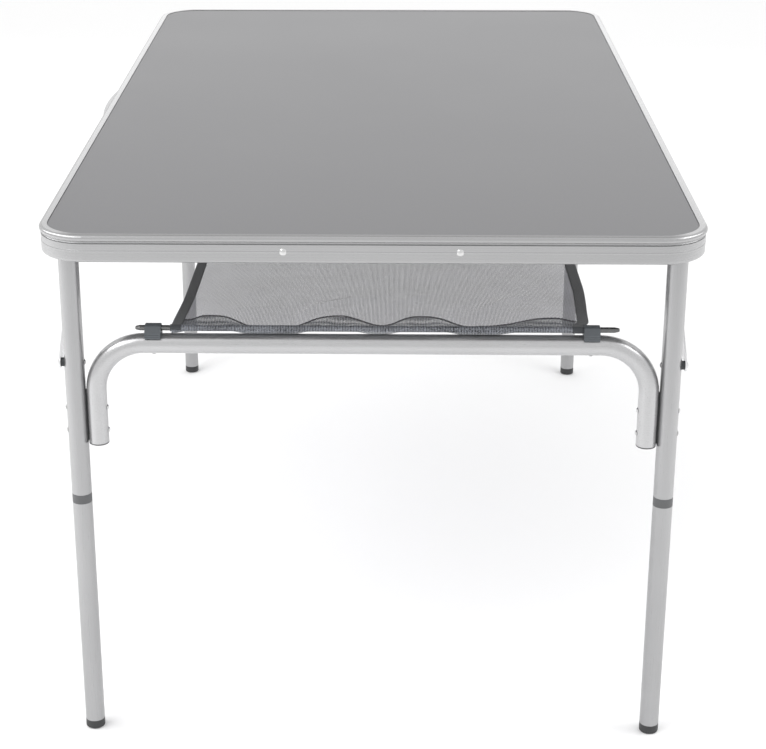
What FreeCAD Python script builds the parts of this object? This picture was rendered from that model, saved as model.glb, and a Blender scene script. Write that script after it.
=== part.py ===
import FreeCAD, Part
import math
import os
from FreeCAD import Vector

# A one-piece folding camping table: a laminated board in an aluminium edge profile, two leg frames
# that fold inwards on folding stays, plug-in lower legs, a net shelf on two rods and a pull-out
# carrying handle. X runs across the table, Y along it and Z up. The origin is on the floor, under
# the middle of the board. Millimetres.

# Table top
table_length = 1400.0
table_width = 800.0
table_height = 700.0
corner_radius = 60.0

# Edge profile. Reach is the distance inwards from the outermost line of the bead.
rim_height = 34.0
rim_bottom = table_height - rim_height
lip_reach = 10.0
lip_bottom = table_height - 1.6
face_reach = 1.7
wall_reach = 3.3
board_edge_reach = 3.0
flange_reach = 9.3
flange_top = rim_bottom + 1.5
shelf_reach = 14.0
shelf_bottom = table_height - 7.5
board_bottom = table_height - 6.0
saw_cut = 0.3

# Board
board_gap = 0.3
field_reach = lip_reach + 0.7
field_top = table_height - 0.7

# Tubes
tube_radius = 12.5
tube_wall = 1.2
bore_radius = tube_radius - tube_wall

# Leg frames
leg_x = 367.5
leg_y = 642.0
hinge_z = table_height - 28.0
leg_top = hinge_z + 11.0
pin_radius = 3.0
running_gap = 0.05
cross_z = 544.5
cross_bend = 62.0
cross_end_z = 413.0
strip_gap = 0.8
cross_end_x = leg_x - 2 * tube_radius - strip_gap
frame_rivet_heights = (459.0, 428.5)

# Lower legs
collar_bottom = 330.0
collar_top = 342.0
seat_gap = 0.2
fixed_spigot = 30.0
loose_spigot = 70.0
collar_bore = 8.0
foot_height = 12.0
plug_length = 16.0

# Folding stays
stay_leg_z = 519.0
stay_rim_offset = 200.0
stay_rim_z = hinge_z + 2.0
lower_link_length = 150.0
link_width = 15.0
link_thickness = 2.2
link_gap = 0.4
stay_spacer_thickness = 3.6
stay_spacer_radius = 5.5
stay_pin_radius = 2.5

# Net shelf
clip_x = 268.0
clip_width = 19.5
rod_radius = 3.4
rod_z = cross_z + 20.0
rod_length = 592.0
net_shift = 6.0
net_width = 498.0
net_sag = 22.0
net_thickness = 1.0

# Handle
handle_chord = 210.0
handle_standout = 9.3
handle_arm_y = 70.0
arm_width = 16.0
arm_bottom = 687.0
arm_top = 691.0
handle_travel = 32.0
handle_low = 671.0
guide_length = 10.0

# Support rails under the board
rail_x = 104.0
rail_width = 40.0
rail_lip = 8.0
rail_top = board_bottom
rail_bottom = board_bottom - 6.0
rail_wall = 1.2

# Rivets and pressed brackets
rivet_head_radius = 4.3
side_rivet_radius = stay_pin_radius
side_rivet_z = 679.0
end_rivet_radius = 2.4
end_rivet_z = 680.5
frame_rivet_radius = 2.0
clip_rivet_radius = 1.8
bracket_wall = 1.5
flange_wall = 1.8
bracket_rivet_pitch = 16.0
flange_setback = 15.0
countersink_radius = 4.3
countersink_depth = 1.2

# Distances from the middle of the table
wall_inner_x = table_width / 2 - wall_reach
wall_inner_y = table_length / 2 - wall_reach
face_x = table_width / 2 - face_reach
face_y = table_length / 2 - face_reach
link_lower_x = leg_x + tube_radius + stay_spacer_thickness
link_upper_x = link_lower_x + link_thickness + link_gap
mount_x = link_upper_x + link_thickness + 0.3

# Cutting shapes run past what they cut by this much.
over = 1.0

SIDES = (("left", -1), ("right", 1))
ENDS = (("front", -1), ("rear", 1))
X_AXIS = Vector(1, 0, 0)
Y_AXIS = Vector(0, 1, 0)
Z_AXIS = Vector(0, 0, 1)


def save(node, *solids):
    """Writes one node: a single solid, or a group of separate solids."""
    shape = solids[0] if len(solids) == 1 else Part.makeCompound(list(solids))
    for solid in shape.Solids:
        if not solid.isValid():
            print("invalid solid in", node)
    shape.exportStep("parts/" + node + ".step")


def box(x0, x1, y0, y1, z0, z1):
    """A box between three pairs of limits, given in either order."""
    low = Vector(min(x0, x1), min(y0, y1), min(z0, z1))
    return Part.makeBox(abs(x1 - x0), abs(y1 - y0), abs(z1 - z0), low)


def rod(radius, x, y, z, length, axis):
    """A cylinder that starts at a point and runs along an axis."""
    return Part.makeCylinder(radius, length, Vector(x, y, z), axis)


def face_from(points):
    """A flat face inside a closed outline of straight lines."""
    return Part.Face(Part.makePolygon(points + [points[0]]))


def dome(radius, height, base, direction):
    """A rivet head: the cap of a ball with this base radius and height."""
    ball_radius = (radius ** 2 + height ** 2) / (2 * height)
    centre = base - direction * (ball_radius - height)
    ball = Part.makeSphere(ball_radius, centre)
    return ball.common(Part.makeCylinder(radius, height + 1, base, direction))


def rivet(shank_radius, start, end, start_head, end_head):
    """A rivet between two points. Each head is (radius, height), or None for a flush end."""
    along = (end - start).normalize()
    body = Part.makeCylinder(shank_radius, (end - start).Length, start, along)
    if start_head:
        body = body.fuse(dome(start_head[0], start_head[1], start, along * -1))
    if end_head:
        body = body.fuse(dome(end_head[0], end_head[1], end, along))
    return body.removeSplitter()


def rounded_slab(reach, z0, z1):
    """A plate with the table's outline, drawn in by reach, between two heights."""
    half_x = table_width / 2 - reach
    half_y = table_length / 2 - reach
    slab = box(-half_x, half_x, -half_y, half_y, z0, z1)
    upright = [e for e in slab.Edges if abs(e.Vertexes[0].Z - e.Vertexes[-1].Z) > (z1 - z0) / 2]
    return slab.makeFillet(corner_radius - reach, upright)


def profile_outline():
    """The edge profile's section as a closed wire of (reach, height) in the XZ plane."""
    bead_radius = 4.0
    bead_low_reach = 1.2
    bead_low = table_height - 7.0
    groove_reach = 3.8
    groove_z = table_height - 8.5
    face_top = table_height - 10.7
    foot_radius = 4.0
    face_foot = rim_bottom + foot_radius
    rib_z = 680.5
    rib_half = 1.2
    rib_height = 0.35
    top = table_height
    diagonal = 1 - math.sqrt(0.5)

    def at(reach, height):
        return Vector(reach, 0, height)

    def line(a, b):
        return Part.LineSegment(a, b).toShape()

    def arc(a, b, c):
        return Part.Arc(a, b, c).toShape()

    foot_reach = face_reach + foot_radius
    bead_mid = at(bead_radius * diagonal, top - bead_radius * diagonal)
    foot_mid = at(face_reach + foot_radius * diagonal, rim_bottom + foot_radius * diagonal)
    edges = [
        line(at(lip_reach, top), at(bead_radius, top)),
        arc(at(bead_radius, top), bead_mid, at(0, top - bead_radius)),
        arc(at(0, top - bead_radius), at(0.25, top - 5.6), at(bead_low_reach, bead_low)),
        arc(at(bead_low_reach, bead_low), at(groove_reach, groove_z), at(face_reach, face_top)),
        line(at(face_reach, face_top), at(face_reach, rib_z + rib_half)),
        arc(
            at(face_reach, rib_z + rib_half),
            at(face_reach - rib_height, rib_z),
            at(face_reach, rib_z - rib_half),
        ),
        line(at(face_reach, rib_z - rib_half), at(face_reach, face_foot)),
        arc(at(face_reach, face_foot), foot_mid, at(foot_reach, rim_bottom)),
    ]
    inner = [
        (foot_reach, rim_bottom),
        (flange_reach, rim_bottom),
        (flange_reach, flange_top),
        (foot_reach, flange_top),
        (wall_reach, face_foot),
        (wall_reach, face_top - 1.0),
        (wall_reach + 2.2, face_top + 1.2),
        (wall_reach + 2.2, shelf_bottom),
        (shelf_reach, shelf_bottom),
        (shelf_reach, board_bottom),
        (board_edge_reach, board_bottom),
        (board_edge_reach, lip_bottom),
        (lip_reach, lip_bottom),
        (lip_reach, top),
    ]
    edges += [line(at(*a), at(*b)) for a, b in zip(inner, inner[1:])]
    return Part.Wire(edges)


def edge_profile():
    """The bent aluminium frame round the board: four straight runs and four turned corners."""
    section = Part.Face(profile_outline())
    half_x = table_width / 2
    half_y = table_length / 2
    slot_gap = 0.3
    run_y = table_length - 2 * corner_radius
    run_x = table_width - 2 * corner_radius
    # The outline's reach becomes a distance inwards from the left side.
    on_left = section.translated(Vector(-half_x, -half_y + corner_radius, 0))
    left_run = on_left.extrude(Vector(0, run_y, 0))
    corner_axis = Vector(-half_x + corner_radius, -half_y + corner_radius, 0)
    corner = on_left.revolve(corner_axis, Z_AXIS, 90)
    on_front = section.copy()
    on_front.rotate(Vector(0, 0, 0), Z_AXIS, 90)
    on_front.translate(Vector(-half_x + corner_radius, -half_y, 0))
    front_run = on_front.extrude(Vector(run_x, 0, 0))
    quarter = [left_run, front_run, corner]
    ring = quarter[0].multiFuse(quarter[1:])
    turned = ring.copy()
    turned.rotate(Vector(0, 0, 0), Z_AXIS, 180)
    ring = ring.multiFuse([turned, corner.mirror(Vector(0, 0, 0), X_AXIS)])
    ring = ring.fuse(corner.mirror(Vector(0, 0, 0), Y_AXIS))
    ring = ring.removeSplitter()
    ring = ring.cut(box(-saw_cut / 2, saw_cut / 2, half_y - shelf_reach - over, half_y + over,
                        rim_bottom - over, table_height + over))
    for y in (-handle_arm_y, handle_arm_y):
        slot = box(-half_x - over, -half_x + 12, y - arm_width / 2 - slot_gap,
                   y + arm_width / 2 + slot_gap, arm_bottom - slot_gap, arm_top + slot_gap)
        ring = ring.cut(slot)
    for lines, radius in ((side_rivet_lines(), side_rivet_radius),
                          (end_rivet_lines(), end_rivet_radius)):
        for start, end in lines:
            along = (end - start).normalize()
            hole = Part.makeCylinder(radius, (end - start).Length + 2 * over, start, along)
            # The rib is pressed flat under each rivet's head.
            seat = Part.makeCylinder(rivet_head_radius + 0.1, 3, end, along)
            ring = ring.cut(hole.fuse(seat))
    return ring


def side_rivet_lines():
    """Lines of the rivets through the long sides, from the inside to the outer face."""
    lines = []
    for _, sx in SIDES:
        for _, sy in ENDS:
            for step in (-bracket_rivet_pitch / 2, bracket_rivet_pitch / 2):
                y = sy * (leg_y - flange_setback) + step
                start = Vector(sx * (wall_inner_x - flange_wall), y, side_rivet_z)
                lines.append((start, Vector(sx * face_x, y, side_rivet_z)))
            y = sy * (leg_y - stay_rim_offset)
            start = Vector(sx * (link_upper_x + 0.1), y, stay_rim_z)
            lines.append((start, Vector(sx * face_x, y, stay_rim_z)))
    return lines


def end_rivet_lines():
    """Lines of the domed rivets through the short sides, two at each end."""
    lines = []
    for _, sy in ENDS:
        for x in (-rail_x, rail_x):
            start = Vector(x, sy * (wall_inner_y - bracket_wall), end_rivet_z)
            lines.append((start, Vector(x, sy * face_y, end_rivet_z)))
    return lines


def board_panel():
    """The laminated board: its margin is rebated to go under the lip."""
    core = rounded_slab(board_edge_reach + board_gap, board_bottom, lip_bottom)
    field = rounded_slab(field_reach, lip_bottom, field_top)
    return core.fuse(field).removeSplitter()


def support_rail(x):
    """A shallow channel under the board, open downwards, along the whole length."""
    half = table_length / 2 - shelf_reach - 1.0
    outer = box(x - rail_width / 2, x + rail_width / 2, -half, half, rail_bottom, rail_top)
    inner_half = rail_width / 2 - rail_lip
    hollow = box(x - inner_half, x + inner_half, -half - over, half + over, rail_bottom - over,
                 rail_top - rail_wall)
    return outer.cut(hollow)


def rail_bracket(x, sy):
    """An angle that joins a rail's end to the short side of the edge profile."""
    half = 13.0
    plate_low = 671.0
    tab_length = 34.0
    back = box(x - half, x + half, sy * wall_inner_y, sy * (wall_inner_y - bracket_wall),
               plate_low, rail_bottom)
    tab = box(x - half, x + half, sy * wall_inner_y, sy * (wall_inner_y - tab_length),
              rail_bottom - bracket_wall, rail_bottom)
    start = Vector(x, sy * (wall_inner_y - 5), end_rivet_z)
    return back.fuse(tab).removeSplitter().cut(
        Part.makeCylinder(end_rivet_radius, 10, start, Vector(0, sy, 0)))


def joint_plate():
    """The splice inside the edge profile that bridges its butt joint."""
    return box(-30, 30, wall_inner_y - bracket_wall, wall_inner_y, rim_bottom + 4.5, rim_bottom + 21.5)


def hinge_bracket(sx, sy):
    """A pressed bracket: two ears for the hinge pin, a web, and a flange that is set back from
    the corner and riveted to the long side."""
    ear_gap = tube_radius + 0.5
    ear_wall = 2.0
    ear_half = 14.0
    ear_round = 5.5
    web_top = shelf_bottom - 0.2
    web_bottom = web_top - 2.0
    flange_half = 13.0
    y = sy * leg_y
    parts = []
    for side in (-1, 1):
        inner = sx * leg_x + side * ear_gap
        outer = inner + side * ear_wall
        x0 = min(inner, outer)
        tip = rod(ear_round, x0, y, hinge_z, ear_wall, X_AXIS)
        outline = [Vector(x0, y - ear_round, hinge_z), Vector(x0, y - ear_half, web_top),
                   Vector(x0, y + ear_half, web_top), Vector(x0, y + ear_round, hinge_z)]
        blade = face_from(outline).extrude(Vector(ear_wall, 0, 0))
        parts.append(blade.fuse(tip))
    web_inner = sx * (leg_x - ear_gap - ear_wall)
    web_outer = sx * (wall_inner_x - 2.3)
    flange_inner = sx * (wall_inner_x - flange_wall)
    knee_depth = 4.0
    parts.append(box(web_inner, web_outer, y - ear_half, y + ear_half, web_bottom, web_top))
    flange_top_z = 688.0
    flange_y = sy * (leg_y - flange_setback)
    y0, y1 = flange_y - flange_half, flange_y + flange_half
    flange = box(flange_inner, sx * wall_inner_x, y0, y1, rim_bottom + 5.0, flange_top_z)
    knee = box(web_outer - sx * ear_wall, flange_inner, y0, y1,
               flange_top_z - knee_depth, flange_top_z)
    riser = box(web_outer - sx * ear_wall, web_outer, y0, y1, flange_top_z - knee_depth, web_top)
    # The web's outer corner follows the turned corner of the edge profile.
    room = rounded_slab(wall_reach + 2.3, rim_bottom, table_height)
    upper = parts[0].multiFuse(parts[1:] + [riser]).common(room)
    body = upper.multiFuse([flange, knee]).removeSplitter()
    body = body.cut(rod(pin_radius, sx * leg_x - 20, y, hinge_z, 40, X_AXIS))
    for start, end in side_rivet_lines():
        if start.x * sx > 0 and abs(start.y - flange_y) < flange_half:
            x0 = min(start.x, end.x) - 3
            body = body.cut(rod(side_rivet_radius, x0, start.y, start.z, 8, X_AXIS))
    return body


def hinge_pin(sx, sy):
    """The pin that a leg turns on, with a thin head outside each ear."""
    reach = tube_radius + 2.5
    head = 0.8
    x0 = sx * leg_x - reach
    y = sy * leg_y
    body = rod(pin_radius, x0 - head, y, hinge_z, 2 * (reach + head), X_AXIS)
    for x in (x0 - head, x0 + 2 * reach):
        body = body.fuse(rod(4.6, x, y, hinge_z, head, X_AXIS))
    return body.removeSplitter()


def stay_mount(sx, sy):
    """The block in the edge profile's channel that carries a stay's upper pivot."""
    half = 12.0
    y = sy * (leg_y - stay_rim_offset)
    block = box(sx * mount_x, sx * wall_inner_x, y - half, y + half, flange_top + 0.2, 687.8)
    flange_room = box(sx * (table_width / 2 - flange_reach - 0.2), sx * (table_width / 2 + over),
                      y - half - over, y + half + over, flange_top, rim_bottom + 4.5)
    block = block.cut(flange_room)
    x0 = min(sx * mount_x, sx * wall_inner_x) - over
    return block.cut(rod(stay_pin_radius, x0, y, stay_rim_z, 14, X_AXIS))


def side_rivets():
    """The bracket rivets and the stays' upper pivots, which all go through the long sides."""
    pieces = []
    head = (rivet_head_radius, face_reach)
    for start, end in side_rivet_lines():
        along = (end - start).normalize()
        body = rivet(side_rivet_radius, start, end, None, head)
        if abs(start.z - stay_rim_z) < 1:
            sunk = Part.makeCone(countersink_radius, stay_pin_radius, countersink_depth, start, along)
            body = body.fuse(sunk).removeSplitter()
        else:
            tail = dome(3.8, 1.6, start, along * -1)
            body = body.fuse(tail).removeSplitter()
        pieces.append(body)
    return pieces


def end_rivets():
    """The large domed rivets on the short sides."""
    pieces = []
    for start, end in end_rivet_lines():
        head = (rivet_head_radius, face_reach)
        pieces.append(rivet(end_rivet_radius, start, end, (4.0, 1.8), head))
    return pieces


def handle_guide(y):
    """A block in the left channel with a slot that one arm of the handle slides in."""
    half = arm_width / 2 + 4.0
    x0 = -wall_inner_x + 2.4
    slip = 0.08
    block = box(x0, x0 + guide_length, y - half, y + half, arm_bottom - 6.0, shelf_bottom - 0.2)
    slot = box(x0 - over, x0 + guide_length + over, y - arm_width / 2 - slip,
               y + arm_width / 2 + slip, arm_bottom - slip, arm_top + slip)
    return block.cut(slot)


def handle_grip():
    """The pull-out handle: a bowed grip on the left side and two arms with stop heads."""
    back_x = -face_x - 0.7
    tip_x = back_x - 1.3
    crown_x = -table_width / 2 - handle_standout
    half = handle_chord / 2
    low, high = handle_low, arm_top
    head_length, head_overhang = 4.0, 3.5
    outline = Part.Wire([
        Part.LineSegment(Vector(back_x, -half, low), Vector(back_x, half, low)).toShape(),
        Part.LineSegment(Vector(back_x, half, low), Vector(tip_x, half, low)).toShape(),
        Part.Arc(Vector(tip_x, half, low), Vector(crown_x, 0, low),
                 Vector(tip_x, -half, low)).toShape(),
        Part.LineSegment(Vector(tip_x, -half, low), Vector(back_x, -half, low)).toShape(),
    ])
    grip = Part.Face(outline).extrude(Vector(0, 0, high - low))
    # The crown's long edges are eased, so that the hand meets no corner.
    long_edges = [e for e in grip.Edges if e.Length > half and e.BoundBox.XMin < crown_x + 1]
    grip = grip.makeFillet(1.2, long_edges)
    guide_inner = -wall_inner_x + 2.4 + guide_length
    head_x = guide_inner + handle_travel + 0.3
    for y in (-handle_arm_y, handle_arm_y):
        end_x = head_x + head_length
        half_arm = arm_width / 2
        half_head = half_arm + head_overhang
        arm = box(back_x, end_x, y - half_arm, y + half_arm, arm_bottom, arm_top)
        head = box(head_x, end_x, y - half_head, y + half_head, arm_bottom, arm_top)
        grip = grip.fuse(arm).fuse(head)
    return grip.removeSplitter()


def upper_leg(sx, sy):
    """The upper leg tube, drilled for the hinge pin, the frame rivets and the stay pivot."""
    x, y = sx * leg_x, sy * leg_y
    low = collar_top + seat_gap
    tube = rod(tube_radius, x, y, low, leg_top - low, Z_AXIS)
    tube = tube.cut(rod(bore_radius, x, y, low - over, leg_top - low + 2 * over, Z_AXIS))
    tube = tube.cut(rod(pin_radius + 0.4, x - 20, y, hinge_z, 40, X_AXIS))
    for z in frame_rivet_heights:
        tube = tube.cut(rod(frame_rivet_radius, x - 20, y, z, 40, X_AXIS))
    return tube.cut(rod(stay_pin_radius, x - 20, y, stay_leg_z, 40, X_AXIS))


def cross_path(sy):
    """The cross tube's centre line: down one side, across, and down the other."""
    y = sy * leg_y
    turn = cross_bend * (1 - math.sqrt(0.5))
    run_x = cross_end_x - cross_bend
    low = cross_z - cross_bend
    end = cross_end_z
    points = {
        "left_end": Vector(-cross_end_x, y, end),
        "left_low": Vector(-cross_end_x, y, low),
        "left_mid": Vector(-cross_end_x + turn, y, cross_z - turn),
        "left_top": Vector(-run_x, y, cross_z),
        "right_top": Vector(run_x, y, cross_z),
        "right_mid": Vector(cross_end_x - turn, y, cross_z - turn),
        "right_low": Vector(cross_end_x, y, low),
        "right_end": Vector(cross_end_x, y, end),
    }
    return Part.Wire([
        Part.LineSegment(points["left_end"], points["left_low"]).toShape(),
        Part.Arc(points["left_low"], points["left_mid"], points["left_top"]).toShape(),
        Part.LineSegment(points["left_top"], points["right_top"]).toShape(),
        Part.Arc(points["right_top"], points["right_mid"], points["right_low"]).toShape(),
        Part.LineSegment(points["right_low"], points["right_end"]).toShape(),
    ])


def swept_bar(path, radius):
    """A round bar of this radius along a path that starts upwards."""
    start = path.Edges[0].Vertexes[0].Point
    circle = Part.Wire(Part.makeCircle(radius, start, Z_AXIS))
    shell = Part.BRepOffsetAPI.MakePipeShell(path)
    shell.add(circle)
    shell.build()
    shell.makeSolid()
    return shell.shape()


def cross_tube(sy):
    """The bent tube between the legs of one frame."""
    path = cross_path(sy)
    drill = 40.0
    tube = swept_bar(path, tube_radius).cut(swept_bar(path, bore_radius))
    for _, sx in SIDES:
        for z in frame_rivet_heights:
            start = sx * cross_end_x - drill / 2
            tube = tube.cut(rod(frame_rivet_radius, start, sy * leg_y, z, drill, X_AXIS))
        start = cross_z - drill / 2
        tube = tube.cut(rod(clip_rivet_radius, sx * clip_x, sy * leg_y, start, drill, Z_AXIS))
    return tube


def spacer_strip(sx, sy):
    """The thin flat plastic strip between a leg and the end of the cross tube."""
    half = 3.2
    low, high = cross_end_z + 2.0, cross_z - cross_bend
    inner_x = cross_end_x + tube_radius
    y = sy * leg_y
    strip = box(sx * inner_x, sx * (inner_x + strip_gap), y - half, y + half, low, high)
    for z in frame_rivet_heights:
        strip = strip.cut(rod(frame_rivet_radius, sx * leg_x - 30, y, z, 60, X_AXIS))
    return strip


def leg_plug(sx, sy):
    """The plug in a leg's top end, bored for the hinge pin."""
    low = hinge_z - plug_length
    plug = rod(bore_radius, sx * leg_x, sy * leg_y, low, leg_top - low, Z_AXIS)
    return plug.cut(rod(pin_radius + running_gap, sx * leg_x - 20, sy * leg_y, hinge_z, 40, X_AXIS))


def cross_plug(sx, sy):
    """The plug that closes the cross tube's lower end."""
    x, y = sx * cross_end_x, sy * leg_y
    flange_height = 2.0
    low = cross_end_z - flange_height
    flange = rod(tube_radius, x, y, low, flange_height, Z_AXIS)
    flange = flange.makeFillet(0.8, [e for e in flange.Edges if e.BoundBox.ZMax < low + 0.01])
    return flange.fuse(rod(bore_radius, x, y, cross_end_z, 12.0, Z_AXIS)).removeSplitter()


def frame_rivets(sy):
    """The rivets that join a cross tube to its legs, and those under the rod clips."""
    pieces = []
    y = sy * leg_y
    head = (3.6, 2.0)
    for _, sx in SIDES:
        for z in frame_rivet_heights:
            start = Vector(sx * (cross_end_x - tube_radius), y, z)
            end = Vector(sx * (leg_x + tube_radius), y, z)
            pieces.append(rivet(frame_rivet_radius, start, end, head, head))
        start = Vector(sx * clip_x, y, cross_z - tube_radius)
        end = Vector(sx * clip_x, y, cross_z + tube_radius + 1.2)
        pieces.append(rivet(clip_rivet_radius, start, end, (3.2, 2.2), (3.2, 1.0)))
    return pieces


def rod_clip(sx, sy):
    """A moulded saddle on the cross tube with an eye for the net's rod."""
    y = sy * leg_y
    x0 = sx * clip_x - clip_width / 2
    low, shoulder, top = cross_z + 9.3, cross_z + 16.0, rod_z + 4.4
    half, top_half = 12.0, 6.0
    groove_radius = 0.5
    outline = [Vector(x0, y - half, low), Vector(x0, y - half, shoulder),
               Vector(x0, y - top_half, top), Vector(x0, y + top_half, top),
               Vector(x0, y + half, shoulder), Vector(x0, y + half, low)]
    body = face_from(outline).extrude(Vector(clip_width, 0, 0))
    along = [e for e in body.Edges if abs(e.Length - clip_width) < 0.01]
    eased = [e for e in along if e.BoundBox.ZMin > low + 1]
    body = body.makeFillet(2.0, eased)
    start, length = x0 - over, clip_width + 2 * over
    body = body.cut(rod(tube_radius, start, y, cross_z, length, X_AXIS))
    body = body.cut(rod(rod_radius + running_gap, start, y, rod_z, length, X_AXIS))
    rivet_room = rod(3.4, sx * clip_x, y, cross_z, rod_z - cross_z, Z_AXIS)
    body = body.cut(rivet_room)
    for groove_z in (low + 2.6, low + 5.2):
        for side in (-1, 1):
            body = body.cut(rod(groove_radius, start, y + side * half, groove_z, length, X_AXIS))
    return body


def net_rod(sy):
    """The round rod that the net hangs on, with tapered, rounded tips."""
    taper, tip_radius = 6.0, 2.1
    x0 = net_shift - rod_length / 2
    x1 = x0 + rod_length
    y = sy * leg_y
    body = rod(rod_radius, x0 + taper, y, rod_z, rod_length - 2 * taper, X_AXIS)
    for x, turn in ((x0, 1), (x1, -1)):
        along = Vector(turn, 0, 0)
        cone = Part.makeCone(tip_radius, rod_radius, taper, Vector(x, y, rod_z), along)
        edge = [e for e in cone.Edges if abs(e.BoundBox.XMax - x) < 0.01 and e.BoundBox.XLength < 0.01]
        body = body.fuse(cone.makeFillet(tip_radius - 0.3, edge))
    return body.removeSplitter()


def net_height(y):
    """The height of the net's middle surface at a distance from the table's centre."""
    return rod_z - net_sag * (1 - (y / leg_y) ** 2)


def net_half(sy):
    """One half of the net shelf, a thin sagging panel from a rod to the table's middle."""
    y_rod, y_mid = leg_y - rod_radius - 1.0, 0.3
    y_between = (y_rod + y_mid) / 2
    x0 = net_shift - net_width / 2
    half = net_thickness / 2

    def at(y, offset):
        return Vector(x0, sy * y, net_height(y) + offset)

    outline = Part.Wire([
        Part.Arc(at(y_rod, half), at(y_between, half), at(y_mid, half)).toShape(),
        Part.LineSegment(at(y_mid, half), at(y_mid, -half)).toShape(),
        Part.Arc(at(y_mid, -half), at(y_between, -half), at(y_rod, -half)).toShape(),
        Part.LineSegment(at(y_rod, -half), at(y_rod, half)).toShape(),
    ])
    return Part.Face(outline).extrude(Vector(net_width, 0, 0))


def stay_spacer(sx, sy):
    """The round plastic spacer between a leg and its stay, hollowed to sit on the tube."""
    y = sy * leg_y
    depth = stay_spacer_thickness + 2.0
    x0 = min(sx * link_lower_x, sx * (link_lower_x - depth))
    body = rod(stay_spacer_radius, x0, y, stay_leg_z, depth, X_AXIS)
    body = body.cut(rod(tube_radius, sx * leg_x, y, stay_leg_z - 20, 40, Z_AXIS))
    return body.cut(rod(stay_pin_radius, sx * leg_x - 25, y, stay_leg_z, 50, X_AXIS))


def stay_pivot(sx, sy):
    """The rivet through a leg that its stay's lower link turns on."""
    y = sy * leg_y
    start = Vector(sx * (leg_x - tube_radius), y, stay_leg_z)
    end = Vector(sx * (link_lower_x + link_thickness + 0.2), y, stay_leg_z)
    return rivet(stay_pin_radius, start, end, (3.8, 2.0), (5.0, 2.2))


def knee_point(sy):
    """Where the two links of an open stay meet, as (y, z)."""
    y0, z0 = sy * leg_y, stay_leg_z
    y1, z1 = sy * (leg_y - stay_rim_offset), stay_rim_z
    share = lower_link_length / math.hypot(y1 - y0, z1 - z0)
    return y0 + (y1 - y0) * share, z0 + (z1 - z0) * share


def link_bar(x, y0, z0, y1, z1):
    """A flat bar with round ends, from one pivot to the other, its thickness along X."""
    half = link_width / 2
    length = math.hypot(y1 - y0, z1 - z0)
    across = Vector(0, -(z1 - z0) / length * half, (y1 - y0) / length * half)
    a, b = Vector(x, y0, z0), Vector(x, y1, z1)
    bar = face_from([a + across, b + across, b - across, a - across])
    bar = bar.extrude(Vector(link_thickness, 0, 0))
    ends = [rod(half, x, p.y, p.z, link_thickness, X_AXIS) for p in (a, b)]
    return bar.multiFuse(ends).removeSplitter()


def lower_link(sx, sy):
    """The stay's link on the leg. Its knee end is plain: the knee rivet is on the other link."""
    ky, kz = knee_point(sy)
    x = min(sx * link_lower_x, sx * (link_lower_x + link_thickness))
    bar = link_bar(x, sy * leg_y, stay_leg_z, ky, kz)
    hole = rod(stay_pin_radius + running_gap, x - 1, sy * leg_y, stay_leg_z, 5, X_AXIS)
    return bar.cut(hole)


def upper_link(sx, sy):
    """The stay's link on the edge profile, countersunk for its pivot."""
    ky, kz = knee_point(sy)
    y = sy * (leg_y - stay_rim_offset)
    x = min(sx * link_upper_x, sx * (link_upper_x + link_thickness))
    bar = link_bar(x, y, stay_rim_z, ky, kz)
    bar = bar.cut(rod(stay_pin_radius + running_gap, x - 1, y, stay_rim_z, 5, X_AXIS))
    base = Vector(sx * link_upper_x, y, stay_rim_z)
    sink = Part.makeCone(countersink_radius + 0.15, stay_pin_radius + running_gap,
                         countersink_depth + 0.15, base, Vector(sx, 0, 0))
    bar = bar.cut(sink)
    return bar.cut(rod(stay_pin_radius, x - 1, ky, kz, 5, X_AXIS))


def knee_rivet(sx, sy):
    """The knee's rivet, staked in the upper link and flush with its inner face."""
    ky, kz = knee_point(sy)
    start = Vector(sx * link_upper_x, ky, kz)
    end = Vector(sx * (link_upper_x + link_thickness), ky, kz)
    return rivet(stay_pin_radius, start, end, None, (4.6, 1.6))


def lower_leg(sx, sy):
    """The plug-in lower leg tube."""
    x, y = sx * leg_x, sy * leg_y
    height = collar_bottom - foot_height
    tube = rod(tube_radius, x, y, foot_height, height, Z_AXIS)
    return tube.cut(rod(bore_radius, x, y, foot_height - over, height + 2 * over, Z_AXIS))


def leg_collar(sx, sy):
    """The plastic collar between the tubes, with a spigot into each of them."""
    x, y = sx * leg_x, sy * leg_y
    low, high = collar_bottom - fixed_spigot, collar_top + loose_spigot
    ring = rod(tube_radius, x, y, collar_bottom, collar_top - collar_bottom, Z_AXIS)
    fixed = rod(bore_radius, x, y, low, fixed_spigot, Z_AXIS)
    loose = rod(bore_radius - 0.1, x, y, collar_top, loose_spigot, Z_AXIS)
    body = ring.multiFuse([fixed, loose]).removeSplitter()
    tip = [e for e in body.Edges if e.BoundBox.ZMin > high - 0.01]
    body = body.makeChamfer(1.5, tip)
    return body.cut(rod(collar_bore, x, y, low - over, high - low + 2 * over, Z_AXIS))


def foot_cap(sx, sy):
    """The plastic foot, plugged into the lower tube."""
    x, y = sx * leg_x, sy * leg_y
    foot = rod(tube_radius, x, y, 0, foot_height, Z_AXIS)
    base = [e for e in foot.Edges if e.BoundBox.ZMax < 0.01]
    foot = foot.makeFillet(2.0, base)
    return foot.fuse(rod(bore_radius, x, y, foot_height, plug_length, Z_AXIS)).removeSplitter()


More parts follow.
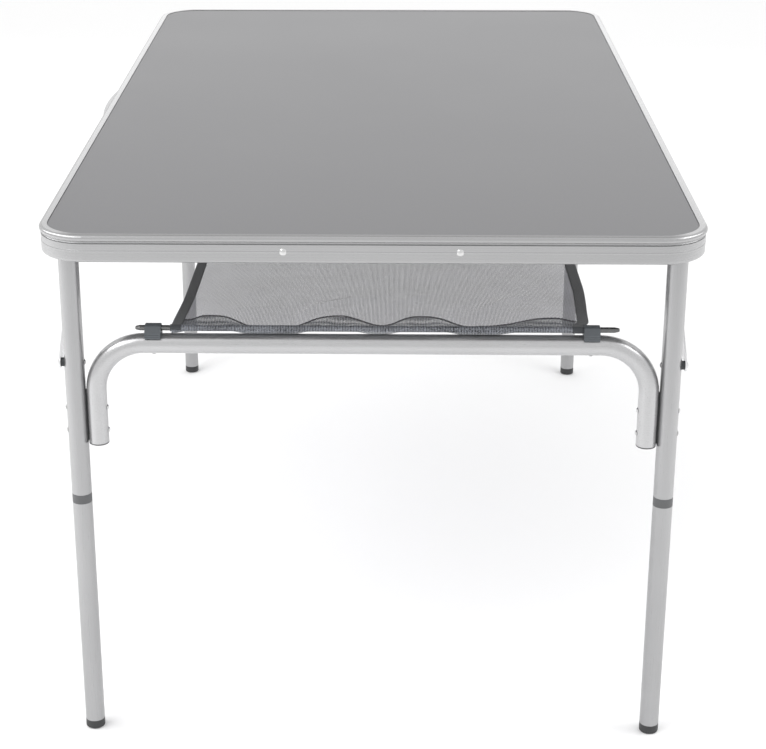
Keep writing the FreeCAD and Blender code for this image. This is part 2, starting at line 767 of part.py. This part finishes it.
def build_top():
    """The nodes that are fixed to the table top."""
    corners = [(sx, sy) for _, sy in ENDS for _, sx in SIDES]
    save("board_panel", board_panel())
    save("edge_profile", edge_profile())
    save("profile_joint_plate", joint_plate())
    for name, sx in SIDES:
        save("support_rail_" + name, support_rail(sx * rail_x))
    save("rail_end_brackets", *[rail_bracket(x, sy) for _, sy in ENDS for x in (-rail_x, rail_x)])
    save("end_rivets", *end_rivets())
    save("hinge_brackets", *[hinge_bracket(sx, sy) for sx, sy in corners])
    save("hinge_pins", *[hinge_pin(sx, sy) for sx, sy in corners])
    save("stay_mounts", *[stay_mount(sx, sy) for sx, sy in corners])
    save("side_rivets", *side_rivets())
    save("handle_guides", *[handle_guide(y) for y in (-handle_arm_y, handle_arm_y)])
    save("handle_grip", handle_grip())


def build_frame(end, sy):
    """The nodes of one leg frame, with its rod, half of the net, its stays and lower legs."""
    for side, sx in SIDES:
        save(end + "_" + side + "_leg", upper_leg(sx, sy))
        save(end + "_" + side + "_lower_leg", lower_leg(sx, sy))
        save(end + "_" + side + "_collar", leg_collar(sx, sy))
        save(end + "_" + side + "_foot", foot_cap(sx, sy))
        save(end + "_" + side + "_lower_link", lower_link(sx, sy))
        save(end + "_" + side + "_upper_link", upper_link(sx, sy))
        save(end + "_" + side + "_knee_rivet", knee_rivet(sx, sy))
    save(end + "_cross_tube", cross_tube(sy))
    save(end + "_spacer_strips", *[spacer_strip(sx, sy) for _, sx in SIDES])
    plugs = [plug(sx, sy) for plug in (leg_plug, cross_plug) for _, sx in SIDES]
    save(end + "_tube_plugs", *plugs)
    save(end + "_frame_rivets", *frame_rivets(sy))
    save(end + "_rod_clips", *[rod_clip(sx, sy) for _, sx in SIDES])
    save(end + "_net_rod", net_rod(sy))
    save(end + "_net", net_half(sy))
    save(end + "_stay_spacers", *[stay_spacer(sx, sy) for _, sx in SIDES])
    save(end + "_stay_pivots", *[stay_pivot(sx, sy) for _, sx in SIDES])


os.makedirs("parts", exist_ok=True)
build_top()
for end_name, end_sign in ENDS:
    build_frame(end_name, end_sign)
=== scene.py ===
import math

import bmesh
import bpy
from mathutils import Matrix, Vector, noise


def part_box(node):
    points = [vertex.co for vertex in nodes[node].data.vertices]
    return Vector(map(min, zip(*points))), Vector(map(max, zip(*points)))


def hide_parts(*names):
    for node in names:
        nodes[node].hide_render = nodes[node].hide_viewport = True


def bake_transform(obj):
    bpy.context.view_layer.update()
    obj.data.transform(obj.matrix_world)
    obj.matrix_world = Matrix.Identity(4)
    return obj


# The looks of a folding camping table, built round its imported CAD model. Metres, in the row's
# frame: X across the table, Y along it, Z up, the floor at zero.

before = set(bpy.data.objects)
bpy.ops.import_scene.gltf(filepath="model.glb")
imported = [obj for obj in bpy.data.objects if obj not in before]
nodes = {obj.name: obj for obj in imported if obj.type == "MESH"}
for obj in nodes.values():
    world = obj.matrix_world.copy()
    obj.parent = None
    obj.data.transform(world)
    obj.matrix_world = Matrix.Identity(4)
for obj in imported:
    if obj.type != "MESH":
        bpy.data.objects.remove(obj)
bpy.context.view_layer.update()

ENDS = (("front", -1), ("rear", 1))
SIDES = (("left", -1), ("right", 1))


# ---- Where things are, read from the CAD ----

rod_low, rod_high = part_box("rear_net_rod")
net_low, net_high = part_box("rear_net")
rod_y = (rod_low.y + rod_high.y) / 2
rod_z = (rod_low.z + rod_high.z) / 2
rod_radius = (rod_high.z - rod_low.z) / 2
net_x0, net_x1 = net_low.x, net_high.x
cad_net_half_thickness = 0.0005
net_sag = rod_z - (net_low.z + cad_net_half_thickness)
tube_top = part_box("rear_cross_tube")[1].z
half_width, half_length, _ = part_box("edge_profile")[1]
corner_radius = 0.060


# ---- Materials ----

def make_material(name):
    """A new node material. Returns it with a function that adds nodes, and its shader."""
    material = bpy.data.materials.new(name)
    material.use_nodes = True
    tree = material.node_tree
    tree.nodes.clear()

    def node(kind, inputs=None, **settings):
        made = tree.nodes.new("ShaderNode" + kind)
        for key, value in settings.items():
            setattr(made, key, value)
        for key, value in (inputs or {}).items():
            if isinstance(value, bpy.types.NodeSocket):
                tree.links.new(value, made.inputs[key])
            else:
                made.inputs[key].default_value = value
        return made

    shader = node("BsdfPrincipled")
    out = node("OutputMaterial")
    tree.links.new(shader.outputs[0], out.inputs["Surface"])
    return material, node, shader


def link(socket, shader, name):
    shader.id_data.links.new(socket, shader.inputs[name])


def math_node(node, operation, a, b=0.0, c=0.0):
    return node("Math", {0: a, 1: b, 2: c}, operation=operation).outputs[0]


def ramp(node, value, low, high, to_low, to_high):
    """Maps a value from one range to another, clamped."""
    inputs = {"Value": value, "From Min": low, "From Max": high,
              "To Min": to_low, "To Max": to_high}
    return node("MapRange", inputs).outputs[0]


def object_point(node, scale=(1, 1, 1)):
    place = node("TexCoord").outputs["Object"]
    return node("Mapping", {"Vector": place, "Scale": scale}).outputs[0]


def noise_at(node, point, scale, detail=2.0, roughness=0.5):
    inputs = {"Vector": point, "Scale": scale, "Detail": detail, "Roughness": roughness}
    return node("TexNoise", inputs).outputs["Fac"]


def grey(value, tint=(1, 1, 1)):
    return (value * tint[0], value * tint[1], value * tint[2], 1.0)


def colour_between(node, shader, factor, a, b):
    """Sets the base colour between two colours, by a factor from 0 to 1."""
    mix = node("Mix", data_type="RGBA")
    mix.id_data.links.new(factor, mix.inputs["Factor"])
    mix.inputs["A"].default_value = a
    mix.inputs["B"].default_value = b
    mixed = next(socket for socket in mix.outputs if socket.type == "RGBA")
    link(mixed, shader, "Base Color")


def bump(node, shader, height, distance, strength=1.0):
    made = node("Bump", {"Height": height, "Distance": distance, "Strength": strength})
    link(made.outputs[0], shader, "Normal")


def laminate_material():
    """Smooth satin laminate: an even grey with the faintest cloud and a fine pressed grain."""
    material, node, shader = make_material("laminate_grey")
    point = object_point(node)
    cloud = noise_at(node, point, 5.0, 3.0)
    grain = noise_at(node, point, 1300.0, 3.0, 0.6)
    fleck = noise_at(node, point, 420.0, 1.0)
    tone = math_node(node, "MULTIPLY_ADD", cloud, 0.7, math_node(node, "MULTIPLY", fleck, 0.3))
    tone = ramp(node, tone, 0.35, 0.65, 0.0, 1.0)
    tint = (1.0, 0.995, 1.05)
    colour_between(node, shader, tone, grey(0.098, tint), grey(0.106, tint))
    link(ramp(node, cloud, 0.3, 0.7, 0.38, 0.40), shader, "Roughness")
    shader.inputs["IOR"].default_value = 1.5
    bump(node, shader, grain, 0.00003, 0.5)
    return material


def aluminium_material(name, value, roughness, stretch):
    """Satin anodised aluminium with fine lines drawn along one direction."""
    material, node, shader = make_material(name)
    shader.inputs["Metallic"].default_value = 0.85
    tint = (1.0, 1.0, 1.012)
    lines = noise_at(node, object_point(node, stretch), 2600.0, 2.0, 0.6)
    cloud = noise_at(node, object_point(node), 9.0, 2.0)
    tone = math_node(node, "MULTIPLY_ADD", cloud, 0.5, math_node(node, "MULTIPLY", lines, 0.5))
    tone = ramp(node, tone, 0.35, 0.65, 0.0, 1.0)
    colour_between(node, shader, tone, grey(value * 0.96, tint), grey(value * 1.04, tint))
    link(ramp(node, lines, 0.3, 0.7, roughness - 0.04, roughness + 0.05), shader, "Roughness")
    bump(node, shader, lines, 0.00002, 0.35)
    return material


def rim_material():
    """The edge profile's aluminium: its die lines follow the outline round the corners."""
    material, node, shader = make_material("edge_aluminium_satin")
    shader.inputs["Metallic"].default_value = 0.85
    place = node("TexCoord").outputs["Object"]
    inner = (half_width - corner_radius, half_length - corner_radius, 10.0)
    absolute = node("VectorMath", {0: place}, operation="ABSOLUTE").outputs[0]
    past = node("VectorMath", {0: absolute, 1: inner}, operation="SUBTRACT").outputs[0]
    past = node("VectorMath", {0: past, 1: (0, 0, 0)}, operation="MAXIMUM").outputs[0]
    reach = node("VectorMath", {0: past}, operation="LENGTH").outputs["Value"]
    height = node("SeparateXYZ", {0: place}).outputs["Z"]
    section = node("CombineXYZ", {"X": reach, "Y": height}).outputs[0]
    lines = noise_at(node, section, 1900.0, 2.0, 0.6)
    cloud = noise_at(node, place, 7.0, 2.0)
    tone = math_node(node, "MULTIPLY_ADD", cloud, 0.4, math_node(node, "MULTIPLY", lines, 0.6))
    tone = ramp(node, tone, 0.35, 0.65, 0.0, 1.0)
    tint = (1.0, 1.0, 1.01)
    # The lip's flat top is painted darker across the two ends, where its lines run across the
    # table: a painted shade for how those lines reflect less light there.
    facing = node("SeparateXYZ", {0: node("NewGeometry").outputs["Normal"]}).outputs["Z"]
    beyond = node("SeparateXYZ", {0: past})
    end = math_node(node, "SUBTRACT", beyond.outputs["Y"], beyond.outputs["X"])
    end_top_painted_shade = math_node(node, "MULTIPLY", ramp(node, facing, 0.93, 0.99, 0.0, 1.0),
                     ramp(node, end, 0.01, 0.04, 0.0, 1.0))
    tone_and_painted_shade = math_node(node, "MULTIPLY_ADD", tone, 0.1, 0.9)
    tone_and_painted_shade = math_node(node, "MULTIPLY", tone_and_painted_shade, ramp(node, end_top_painted_shade, 0.0, 1.0, 1.0, 0.42))
    colour_between(node, shader, tone_and_painted_shade, grey(0.0, tint), grey(0.43, tint))
    link(ramp(node, lines, 0.3, 0.7, 0.24, 0.31), shader, "Roughness")
    bump(node, shader, lines, 0.00002, 0.3)
    return material


def plastic_material(name, value, tint, roughness=0.5, grain=1500.0):
    """Moulded plastic with a fine spark-eroded texture."""
    material, node, shader = make_material(name)
    point = object_point(node)
    fine = noise_at(node, point, grain, 3.0, 0.6)
    cloud = noise_at(node, point, 30.0, 2.0)
    tone = ramp(node, math_node(node, "ADD", fine, cloud), 0.8, 1.2, 0.0, 1.0)
    colour_between(node, shader, tone, grey(value * 0.93, tint), grey(value * 1.07, tint))
    link(ramp(node, fine, 0.3, 0.7, roughness - 0.05, roughness + 0.08), shader, "Roughness")
    bump(node, shader, fine, 0.00008, 0.6)
    return material


def steel_material(name, value, roughness):
    """Plated steel, faintly mottled."""
    material, node, shader = make_material(name)
    shader.inputs["Metallic"].default_value = 1.0
    point = object_point(node)
    mottle = noise_at(node, point, 240.0, 3.0)
    tone = ramp(node, mottle, 0.3, 0.7, 0.0, 1.0)
    colour_between(node, shader, tone, grey(value * 0.92), grey(value * 1.04))
    link(ramp(node, mottle, 0.3, 0.7, roughness - 0.05, roughness + 0.06), shader, "Roughness")
    bump(node, shader, mottle, 0.00003, 0.3)
    return material


def mesh_material(name, hole_half, darkest, lightest, speckle, tint=(1.0, 0.99, 1.14)):
    """Knitted mesh: staggered rows of small oval holes, with ribs two holes apart. hole_half is
    half a hole's height and width, as a share of the pitch. speckle is the scale of the uneven
    tone of the yarn."""
    material, node, shader = make_material(name)
    pitch_u, pitch_v = 0.00165, 0.00175
    uv = node("SeparateXYZ", {0: node("UVMap").outputs[0]})
    across = math_node(node, "DIVIDE", uv.outputs["X"], pitch_u)
    column = math_node(node, "FLOOR", across)
    stagger = math_node(node, "MULTIPLY", column, 0.5)
    along = math_node(node, "ADD", math_node(node, "DIVIDE", uv.outputs["Y"], pitch_v), stagger)
    from_u = math_node(node, "SUBTRACT", math_node(node, "FRACT", across), 0.5)
    from_v = math_node(node, "SUBTRACT", math_node(node, "FRACT", along), 0.5)
    u2 = math_node(node, "POWER", math_node(node, "DIVIDE", from_u, hole_half), 2.0)
    v2 = math_node(node, "POWER", math_node(node, "DIVIDE", from_v, hole_half), 2.0)
    spread = math_node(node, "ADD", u2, v2)
    link(ramp(node, spread, 0.9, 1.1, 0.0, 1.0), shader, "Alpha")
    flat_uv = node("CombineXYZ", {"X": uv.outputs["X"], "Y": uv.outputs["Y"]}).outputs[0]
    yarn = noise_at(node, flat_uv, speckle, 2.0)
    cloud = noise_at(node, flat_uv, 14.0, 3.0)
    rib = math_node(node, "SINE", math_node(node, "MULTIPLY", across, math.pi))
    tone = math_node(node, "MULTIPLY_ADD", yarn, 0.55, math_node(node, "MULTIPLY", cloud, 0.45))
    tone = math_node(node, "MULTIPLY_ADD", rib, 0.07, tone)
    tone = ramp(node, tone, 0.36, 0.64, 0.0, 1.0)
    colour_between(node, shader, tone, grey(darkest, tint), grey(lightest, tint))
    shader.inputs["Roughness"].default_value = 0.7
    shader.inputs["Sheen Weight"].default_value = 0.2
    shader.inputs["Sheen Roughness"].default_value = 0.4
    height = math_node(node, "MINIMUM", spread, 2.2)
    bump(node, shader, height, 0.0003, 0.6)
    return material


def webbing_material():
    """Dark slate binding tape with a fine diagonal weave."""
    material, node, shader = make_material("binding_slate")
    pitch = 0.0011
    uv = node("SeparateXYZ", {0: node("UVMap").outputs[0]})
    across, along = uv.outputs["X"], uv.outputs["Y"]
    a = math_node(node, "DIVIDE", math_node(node, "ADD", across, along), pitch)
    b = math_node(node, "DIVIDE", math_node(node, "SUBTRACT", across, along), pitch)
    wave_a = math_node(node, "SINE", math_node(node, "MULTIPLY", a, 2 * math.pi))
    wave_b = math_node(node, "SINE", math_node(node, "MULTIPLY", b, 2 * math.pi))
    weave = ramp(node, math_node(node, "MULTIPLY", wave_a, wave_b), -1.0, 1.0, 0.0, 1.0)
    fuzz = noise_at(node, object_point(node), 900.0, 2.0)
    tone = math_node(node, "MULTIPLY_ADD", weave, 0.5, math_node(node, "MULTIPLY", fuzz, 0.5))
    tint = (0.93, 1.0, 1.10)
    colour_between(node, shader, tone, grey(0.035, tint), grey(0.068, tint))
    shader.inputs["Roughness"].default_value = 0.8
    shader.inputs["Sheen Weight"].default_value = 0.25
    bump(node, shader, weave, 0.0002, 0.5)
    return material


along_z, along_x = (1.0, 1.0, 0.01), (0.01, 1.0, 1.0)
slate = (0.90, 1.0, 1.10)
laminate = laminate_material()
rim = rim_material()
# The uprights and the cross tubes are one aluminium, with lines along each tube: the uprights
# are painted darker and the cross tubes lighter, painted shade and painted light for how each
# tube faces the lamps.
tube_upright_painted_darker = aluminium_material("tube_aluminium_upright_painted_darker", 0.40, 0.31, along_z)
tube_across_painted_lighter = aluminium_material("tube_aluminium_across_painted_lighter", 0.50, 0.29, along_x)
bright_sheet = aluminium_material("stay_aluminium", 0.72, 0.30, (1.0, 0.02, 0.02))
mill_sheet = aluminium_material("rail_aluminium", 0.60, 0.34, (1.0, 0.01, 1.0))
zinc = steel_material("zinc_plate", 0.55, 0.36)
rivet_steel = steel_material("rivet_plate", 0.66, 0.22)
dark_plastic = plastic_material("plastic_slate", 0.10, slate)
collar_plastic = plastic_material("plastic_collar", 0.108, (0.98, 1.0, 1.03))
foot_plastic = plastic_material("plastic_foot", 0.035, (0.98, 1.0, 1.03))
plug_plastic = plastic_material("plastic_plug", 0.09, (0.98, 1.0, 1.03))
spacer_plastic = plastic_material("plastic_spacer", 0.03, slate)
grip_plastic = plastic_material("plastic_grip", 0.47, (1.0, 1.0, 1.01), 0.42, 1100.0)
rod_steel = steel_material("rod_steel_dark", 0.16, 0.24)
net_mesh = mesh_material("net_mesh_violet_grey", 0.30, 0.26, 0.40, 1500.0)
# The hem is the same violet-grey net, doubled round the rod; its darker, coarser speckled tone
# is painted shade for the shadowed gap between its two layers.
hem_mesh_painted_shade = mesh_material("net_hem_violet_grey_painted_shade", 0.30, 0.04, 0.36, 430.0,
                         (0.95, 1.0, 1.12))
seam_mesh = mesh_material("net_seam_slate", 0.20, 0.02, 0.20, 520.0)
webbing = webbing_material()

FINISH = {
    "board_panel": laminate,
    "edge_profile": rim,
    "profile_joint_plate": zinc,
    "support_rail_left": mill_sheet,
    "support_rail_right": mill_sheet,
    "rail_end_brackets": zinc,
    "hinge_brackets": zinc,
    "hinge_pins": rivet_steel,
    "stay_mounts": plug_plastic,
    "handle_guides": plug_plastic,
    "handle_grip": grip_plastic,
    "end_rivets": rivet_steel,
    "side_rivets": rivet_steel,
}
ENDINGS = (
    ("lower_leg", tube_upright_painted_darker),
    ("_leg", tube_upright_painted_darker),
    ("cross_tube", tube_across_painted_lighter),
    ("spacer_strips", spacer_plastic),
    ("tube_plugs", plug_plastic),
    ("rivets", rivet_steel),
    ("knee_rivet", rivet_steel),
    ("stay_pivots", rivet_steel),
    ("rod_clips", dark_plastic),
    ("net_rod", rod_steel),
    ("stay_spacers", spacer_plastic),
    ("_link", bright_sheet),
    ("collar", collar_plastic),
    ("foot", foot_plastic),
    ("_net", net_mesh),
)


def finish_of(name):
    if name in FINISH:
        return FINISH[name]
    return next(material for ending, material in ENDINGS if name.endswith(ending))


for name, piece in nodes.items():
    piece.data.materials.clear()
    piece.data.materials.append(finish_of(name))


# ---- The net shelf ----

net_reach = rod_y
hem_depth = 0.036
layer_gap = 0.0005
seam_half_width, seam_thickness = 0.0021, 0.0008
band_width, band_thickness, edge_inset = 0.013, 0.0014, 0.0004
net_inset = 0.0005
# How high the loose hem rides on its crests and how low it drops in its troughs, and how far
# past the seam its wave fades.
crest_rise, trough_drop = 0.0045, 0.0085
wave_fade = 0.045
# The bindings hold the net's edges level, this far in from them.
edge_hold, edge_ease = 0.010, 0.025
# The clips hold the net in at the rods. Behind them its right edge stands out, and its left
# edge draws in.
at_clip, past_clip, to_middle = 0.0026, 0.009, 0.008
clip_half_depth, past_clip_run, to_middle_run = 0.008, 0.030, 0.20
draw_in, draw_in_run = 0.0035, 0.15
# Where the loose hem rides up between its troughs, as (x, half width).
FRONT_CRESTS = ((-0.196, 0.034), (-0.047, 0.036), (0.063, 0.035), (0.212, 0.047))
REAR_CRESTS = ((-0.205, 0.045), (-0.085, 0.035), (0.045, 0.040), (0.170, 0.042))
# The net's soft unevenness, as a noise's scale across and along, its slice and its height.
UNEVEN = ((14, 9, 3.7, 0.0035), (45, 22, 8.1, 0.0012))
calm_by_rod = 0.05
# Soft folds, as (x, y) at both ends, height and width.
FOLDS = (((-0.165, -0.520), (-0.140, -0.440), 0.0040, 0.010),
         ((-0.110, -0.585), (0.010, -0.500), 0.0060, 0.012),
         ((0.005, -0.560), (0.080, -0.470), 0.0045, 0.012),
         ((0.110, -0.590), (0.200, -0.470), 0.0045, 0.013),
         ((-0.040, -0.330), (0.100, -0.260), 0.0035, 0.020),
         ((-0.180, -0.200), (-0.060, -0.120), 0.0035, 0.020),
         ((0.090, -0.060), (0.200, 0.050), 0.0035, 0.020),
         ((-0.150, 0.180), (-0.030, 0.260), 0.0040, 0.020),
         ((0.030, 0.420), (0.130, 0.520), 0.0050, 0.014),
         ((-0.190, 0.500), (-0.120, 0.590), 0.0045, 0.012))


def smooth(t):
    t = min(1.0, max(0.0, t))
    return t * t * (3 - 2 * t)


def crest_share(x, crests):
    """How far the hem rides up at x, from 0 in a trough to 1 on a crest."""
    return min(1.0, sum(math.exp(-(abs(x - c) / w) ** 3) for c, w in crests))


def fold_height(x, y):
    total = 0.0
    for (ax, ay), (bx, by), height, width in FOLDS:
        dx, dy = bx - ax, by - ay
        length = math.hypot(dx, dy)
        t = ((x - ax) * dx + (y - ay) * dy) / length ** 2
        off = ((x - ax) * dy - (y - ay) * dx) / length
        taper = smooth(t / 0.4) * smooth((1 - t) / 0.4)
        total += height * taper * math.exp(-(off / width) ** 2)
    return total


def spread(x, y):
    """Where the net's point at x lies at y, with its edges standing out or drawn in."""
    from_rod = net_reach - abs(y)
    share = (x - net_x0) / (net_x1 - net_x0)
    right = at_clip + past_clip * smooth((from_rod - clip_half_depth) / past_clip_run)
    right += to_middle * smooth(from_rod / to_middle_run)
    left = draw_in * (1 - smooth(from_rod / draw_in_run))
    return x + right * share ** 3 - left * (1 - share) ** 3


def net_height(x, y):
    """The height of the net's surface."""
    from_rod = net_reach - abs(y)
    base = rod_z - net_sag * (1 - (y / net_reach) ** 2)
    edge = smooth((x - net_x0 - edge_hold) / edge_ease)
    edge *= smooth((net_x1 - edge_hold - x) / edge_ease)
    past_seam = max(0.0, from_rod - hem_depth)
    wave = smooth(from_rod / hem_depth) * math.exp(-(past_seam / wave_fade) ** 2)
    share = crest_share(x, FRONT_CRESTS if y < 0 else REAR_CRESTS)
    hem = crest_rise * share - trough_drop * (1 - share)
    soft = sum(noise.noise(Vector((x * across, y * along, slice_z))) * height
               for across, along, slice_z, height in UNEVEN)
    away = smooth(from_rod / calm_by_rod)
    return base + edge * (wave * hem + away * (soft + fold_height(x, y)))


def sleeve(x, side, crests, taut):
    """The net's section at x from the middle of the table, round the rod and back to the seam,
    as points (y, z). taut leaves out the droop in front of the rod."""
    rows = []
    middle_steps, turn_steps, under_steps = 92, 12, 10
    crowding, climb_run, short_of_rod, tube_gap = 1.6, 0.012, 0.001, 0.0005
    start = rod_radius + layer_gap
    for k in range(middle_steps + 1):
        share = k / middle_steps
        y = (net_reach - short_of_rod) * (1 - (1 - share) ** crowding)
        z = net_height(x, side * y)
        near = 1 - smooth((net_reach - y) / climb_run)
        rows.append((y, z + near * start))
    room = max(0.0, rod_z - start - tube_top - tube_gap)
    droop = 0.0 if taut else room * (1 - smooth(crest_share(x, crests) * 1.6))
    for k in range(1, turn_steps + 1):
        angle = math.pi / 2 - math.pi * k / turn_steps
        low = (1 - math.sin(angle)) / 2
        rows.append((net_reach + start * math.cos(angle) * (1 + 0.4 * low * droop / start),
                     rod_z + start * math.sin(angle) - droop * low))
    y_end = net_reach - hem_depth
    z_seam = net_height(x, side * y_end) - layer_gap
    z0 = rows[-1][1]
    for k in range(1, under_steps + 1):
        share = k / under_steps
        y = net_reach - hem_depth * share
        follow = net_height(x, side * y) - 2 * layer_gap
        z = z0 + (z_seam - z0) * share
        rows.append((y, min(follow, z * (1 - share ** 2) + follow * share ** 2)))
    return [(side * y, z) for y, z in rows]


def sheet_mesh(name, columns, rows_at, material, hem=None):
    """A grid mesh over columns of x, with its UV in metres across and along the cloth. hem is
    a second material, for the faces nearer to the rod than the seam."""
    lines = [rows_at(x) for x in columns]
    count = len(lines[0])
    mesh = bpy.data.meshes.new(name)
    verts = [(spread(x, y), y, z) for x, line in zip(columns, lines) for y, z in line]
    faces = [(i * count + j, i * count + j + 1, (i + 1) * count + j + 1, (i + 1) * count + j)
             for i in range(len(columns) - 1) for j in range(count - 1)]
    mesh.from_pydata(verts, [], faces)
    middle = lines[len(lines) // 2]
    along = [0.0]
    for (y0, z0), (y1, z1) in zip(middle, middle[1:]):
        along.append(along[-1] + math.hypot(y1 - y0, z1 - z0))
    layer = mesh.uv_layers.new(name="UVMap")
    for loop in mesh.loops:
        row = loop.vertex_index % count
        layer.data[loop.index].uv = (verts[loop.vertex_index][0] - net_x0, along[row])
    mesh.materials.append(material)
    # The faces nearer the rod than the seam take the hem's material, which is painted darker as
    # shade.
    if hem:
        mesh.materials.append(hem)
        for face in mesh.polygons:
            face.material_index = int(net_reach - abs(face.center.y) < hem_depth)
    mesh.polygons.foreach_set("use_smooth", [True] * len(mesh.polygons))
    piece = bpy.data.objects.new(name, mesh)
    bpy.context.scene.collection.objects.link(piece)
    return piece, along[-1]


def spaced(a, b, count):
    return [a + (b - a) * k / (count - 1) for k in range(count)]


def thicken(piece, thickness):
    """Gives a strip its thickness and eases its edges, with the result applied."""
    solid = piece.modifiers.new("solid", "SOLIDIFY")
    solid.thickness = thickness
    solid.offset = 0.0
    ease = piece.modifiers.new("ease", "BEVEL")
    ease.width = thickness * 0.3
    ease.segments = 2
    ease.limit_method = "ANGLE"
    bpy.context.view_layer.update()
    graph = bpy.context.evaluated_depsgraph_get()
    mesh = bpy.data.meshes.new_from_object(piece.evaluated_get(graph))
    piece.modifiers.clear()
    piece.data = mesh


def stitches(name, x0, x1, side, material):
    """The row of stitches that closes the hem, proud of the net and of its turned-in edge."""
    mesh = bmesh.new()
    pitch, length, radius, arch = 0.0042, 0.0030, 0.00035, 0.0003
    y = side * (net_reach - hem_depth + seam_half_width)
    lift = seam_thickness + 0.0001 + radius * 0.6
    x = x0
    while x + length < x1:
        z0 = net_height(x, y) + lift
        z1 = net_height(x + length, y) + lift
        rings = []
        for t in (0.0, 0.25, 0.5, 0.75, 1.0):
            rise = math.sin(t * math.pi) * arch
            r = radius * (0.45 + 0.55 * math.sin(math.pi * (0.1 + 0.8 * t)))
            centre = Vector((spread(x + length * t, y), y, z0 + (z1 - z0) * t + rise))
            rings.append([mesh.verts.new(centre + Vector((0, r * math.cos(a), r * math.sin(a))))
                          for a in (math.pi * k / 3 for k in range(6))])
        for a, b in zip(rings, rings[1:]):
            for k in range(6):
                mesh.faces.new((a[k], a[(k + 1) % 6], b[(k + 1) % 6], b[k]))
        mesh.faces.new(list(reversed(rings[0])))
        mesh.faces.new(rings[-1])
        x += pitch
    data = bpy.data.meshes.new(name)
    bmesh.ops.recalc_face_normals(mesh, faces=mesh.faces)
    mesh.to_mesh(data)
    mesh.free()
    data.materials.append(material)
    data.polygons.foreach_set("use_smooth", [True] * len(data.polygons))
    piece = bpy.data.objects.new(name, data)
    bpy.context.scene.collection.objects.link(piece)
    return piece


def seam_rows(x, side):
    """The turned-in edge along the seam, lying on the net, as points (y, z)."""
    y0 = net_reach - hem_depth + seam_half_width
    return [(side * y, net_height(x, side * y) + layer_gap)
            for y in (y0 + seam_half_width, y0, y0 - seam_half_width)]


for end, side in ENDS:
    crests = FRONT_CRESTS if side < 0 else REAR_CRESTS
    columns = spaced(net_x0 + net_inset, net_x1 - net_inset, 150)
    net, cut_length = sheet_mesh(
        end + "_net_mesh", columns, lambda x: sleeve(x, side, crests, False), net_mesh, hem_mesh_painted_shade)
    bands = []
    for hand, sx in SIDES:
        outer = net_x0 if sx < 0 else net_x1
        limits = sorted((outer + sx * edge_inset, outer - sx * (band_width - edge_inset)))
        band, _ = sheet_mesh(
            end + "_" + hand + "_binding", spaced(limits[0], limits[1], 5),
            lambda x: sleeve(x, side, crests, True), webbing)
        thicken(band, band_thickness)
        bands.append(band)
    seam_x0, seam_x1 = net_x0 + band_width, net_x1 - band_width
    turned, _ = sheet_mesh(end + "_hem_seam", spaced(seam_x0, seam_x1, 140),
                           lambda x: seam_rows(x, side), seam_mesh)
    thicken(turned, seam_thickness)
    seam = stitches(end + "_hem_stitches", seam_x0, seam_x1, side, webbing)
    for piece in (net, *bands, turned, seam):
        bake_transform(piece)
    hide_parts(end + "_net")


# ---- Stage, light and camera ----

def floor():
    material, node, shader = make_material("studio_floor")
    cloud = noise_at(node, object_point(node), 1.3, 2.0)
    colour_between(node, shader, cloud, grey(0.94), grey(0.96))
    shader.inputs["Roughness"].default_value = 0.9
    shader.inputs["Specular IOR Level"].default_value = 0.1
    size, drop = 30.0, 0.0004
    mesh = bpy.data.meshes.new("studio_floor")
    corners = ((-size, -size), (size, -size), (size, size), (-size, size))
    mesh.from_pydata([(x, y, -drop) for x, y in corners], [], [(0, 1, 2, 3)])
    mesh.materials.append(material)
    piece = bpy.data.objects.new("studio_floor", mesh)
    bpy.context.scene.collection.objects.link(piece)


# Each light's name, place, aim, size and power in watts.
LIGHTS = (("key", (-2.2, -2.2, 3.2), (0, 0, 0.5), (2.0, 2.0), 36),
          ("fill", (2.6, -1.0, 2.6), (0, 0, 0.5), (1.6, 1.6), 14),
          ("back", (0.2, 3.4, 1.45), (0, 0.5, 0.7), (3.0, 0.9), 7),
          ("wash_left", (-2.0, -0.3, 1.5), (-1.9, -0.4, 0), (0.8, 2.0), 20),
          ("wash_right", (2.0, -0.3, 1.5), (1.9, -0.4, 0), (0.8, 2.0), 11))


def area_light(name, place, aim, size, power):
    data = bpy.data.lights.new(name, "AREA")
    data.shape = "RECTANGLE"
    data.size, data.size_y = size
    data.energy = power
    piece = bpy.data.objects.new(name, data)
    piece.location = place
    piece.rotation_euler = (Vector(aim) - Vector(place)).to_track_quat("-Z", "Y").to_euler()
    bpy.context.scene.collection.objects.link(piece)


def camera():
    place = Vector((0.0238, -2.8084, 1.3664))
    yaw, pitch, roll = -0.02265, 0.37429, 0.00262
    forward = Vector((math.sin(yaw) * math.cos(pitch), math.cos(yaw) * math.cos(pitch),
                      -math.sin(pitch)))
    right = Vector((math.cos(yaw), -math.sin(yaw), 0))
    down = forward.cross(right)
    across = math.cos(roll) * right + math.sin(roll) * down
    down = math.cos(roll) * down - math.sin(roll) * right
    turn = Matrix((across, -down, -forward)).transposed().to_4x4()
    data = bpy.data.cameras.new("camera")
    data.sensor_width = 36.0
    data.lens = 88.83
    data.shift_x, data.shift_y = 0.0413, -0.0108
    piece = bpy.data.objects.new("camera", data)
    piece.matrix_world = Matrix.Translation(place) @ turn
    bpy.context.scene.collection.objects.link(piece)
    bpy.context.scene.camera = piece


world = bpy.data.worlds.new("studio")
world.use_nodes = True
background = world.node_tree.nodes["Background"]
background.inputs["Color"].default_value = (1, 1, 1, 1)
background.inputs["Strength"].default_value = 1.0
bpy.context.scene.world = world
bpy.context.scene.view_settings.view_transform = "Standard"
floor()
for light in LIGHTS:
    area_light(*light)
camera()
